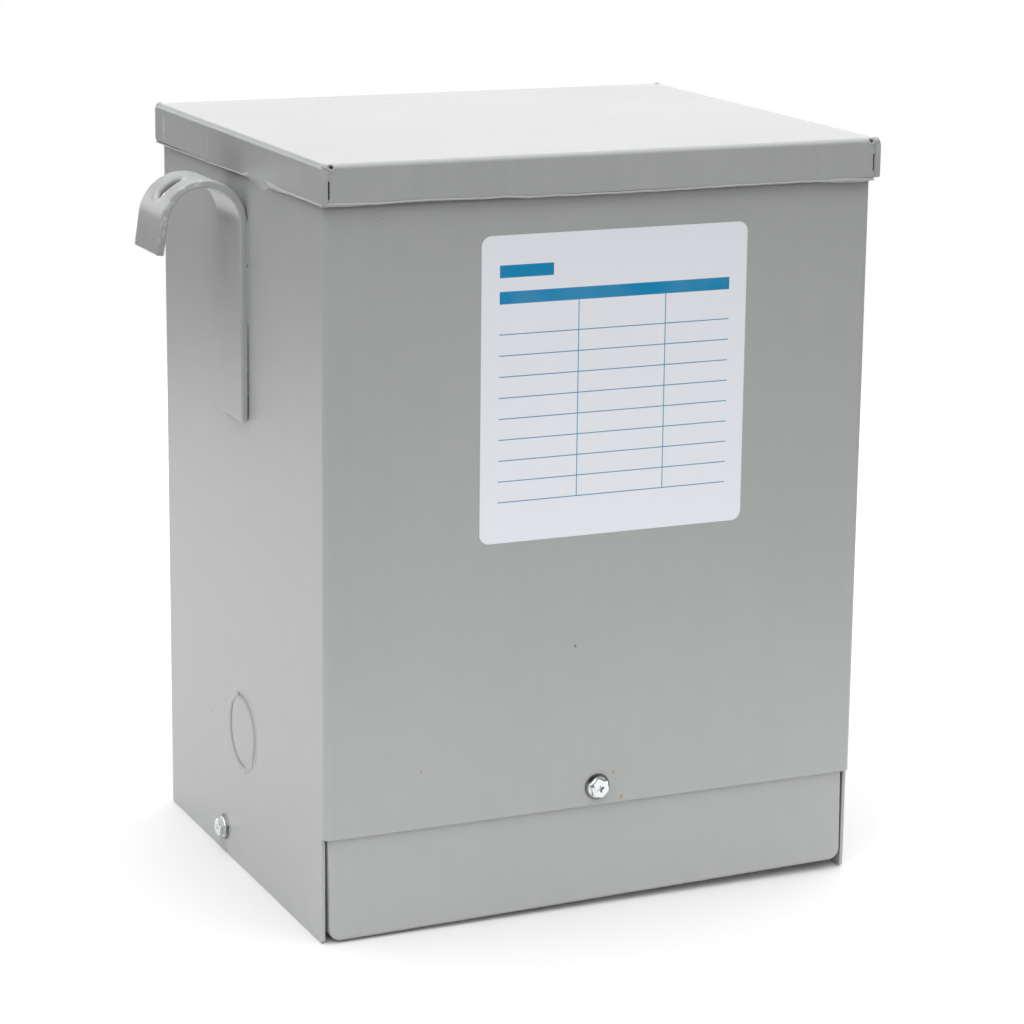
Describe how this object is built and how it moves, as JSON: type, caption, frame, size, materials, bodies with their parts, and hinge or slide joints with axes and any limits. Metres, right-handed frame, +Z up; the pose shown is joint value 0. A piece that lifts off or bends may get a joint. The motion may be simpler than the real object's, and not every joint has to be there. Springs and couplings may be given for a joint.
{
  "type": "general purpose transformer",
  "caption": "Outdoor dry-type transformer in a folded sheet-steel case with a pan lid, side strap hooks, a lower wiring cover, conduit knockouts and a nameplate.",
  "frame": {"origin": "centre of the base, level with the bottom edges of the side walls", "axes": "+X to the right seen from the front, +Y from the front panel to the back, +Z up"},
  "size_m": [0.3466, 0.2236, 0.346],
  "materials": {
    "case_paint": "smooth semi-gloss grey powder coat",
    "hook_paint": "the same grey coat over hot rolled strap, slightly rough",
    "sealant": "hand-run bead painted over with the case",
    "zinc": "bright zinc plating",
    "plate_film": "white printed film, satin",
    "potting": "cast resin and sand, matte"
  },
  "bodies": {
    "root": {"case_wrapper": "case_paint", "back_panel": "case_paint", "potted_core": "potting", "lid": "case_paint", "sealant_front": "sealant", "sealant_back": "sealant", "sealant_left": "sealant", "sealant_right": "sealant", "lower_cover": "case_paint", "left_knockout": "case_paint", "right_knockout": "case_paint", "left_hook": "hook_paint", "right_hook": "hook_paint", "front_screw": "zinc", "left_screw": "zinc", "right_screw": "zinc", "front_clinch_nut": "zinc", "left_clinch_nut": "zinc", "right_clinch_nut": "zinc", "nameplate": "plate_film"}
  },
  "joints": []
}
